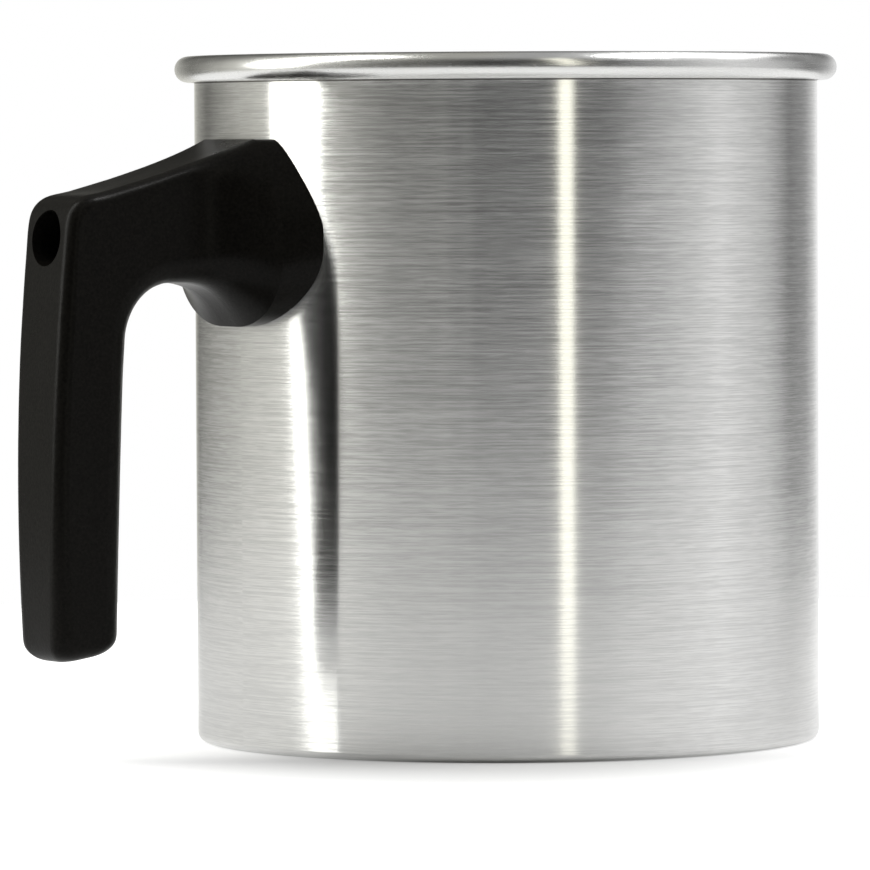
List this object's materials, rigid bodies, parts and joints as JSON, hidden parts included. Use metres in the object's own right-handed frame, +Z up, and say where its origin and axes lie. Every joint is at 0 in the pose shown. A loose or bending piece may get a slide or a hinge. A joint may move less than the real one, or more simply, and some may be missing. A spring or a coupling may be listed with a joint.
{
  "type": "candle wax melter",
  "caption": "Double-walled aluminium pot that melts wax over a water jacket, with a rolled rim, a flared L-shaped moulded handle and a pull-out whistle in the handle's filling port.",
  "frame": {"origin": "on the pot's axis, in the plane the pot stands on", "axes": "+Z up along the pot's axis, -X towards the handle, +Y completes a right-handed frame"},
  "size_m": [0.1967, 0.1488, 0.1536],
  "materials": {
    "brushed_aluminium": "brushed around the body",
    "spun_aluminium": "spun, fine circular brush lines",
    "cast_aluminium": "as cast",
    "black_phenolic": "satin, fine grain",
    "seal_rubber": "matte",
    "inlet_brass": "machined",
    "washer_fibre": "matte fibre",
    "whistle_plastic": "matte",
    "whistle_brass": "pressed sheet"
  },
  "bodies": {
    "pot": {"outer_shell": "brushed_aluminium", "inner_pot": "spun_aluminium", "rim_seal": "seal_rubber", "inlet_bush": "inlet_brass", "bush_gasket": "seal_rubber", "locating_saddle": "cast_aluminium", "bush_nut": "inlet_brass", "handle": "black_phenolic", "clamp_washer": "washer_fibre", "clamp_tube": "inlet_brass"},
    "whistle": {"whistle_body": "whistle_plastic", "whistle_ring": "seal_rubber", "whistle_front_disc": "whistle_brass", "whistle_spacer": "whistle_brass", "whistle_rear_disc": "whistle_brass"}
  },
  "joints": [
    {"name": "whistle_pull", "type": "slide", "parent": "pot", "child": "whistle", "axis": [-1, 0, 0], "range_m": [0, 0.04]}
  ]
}
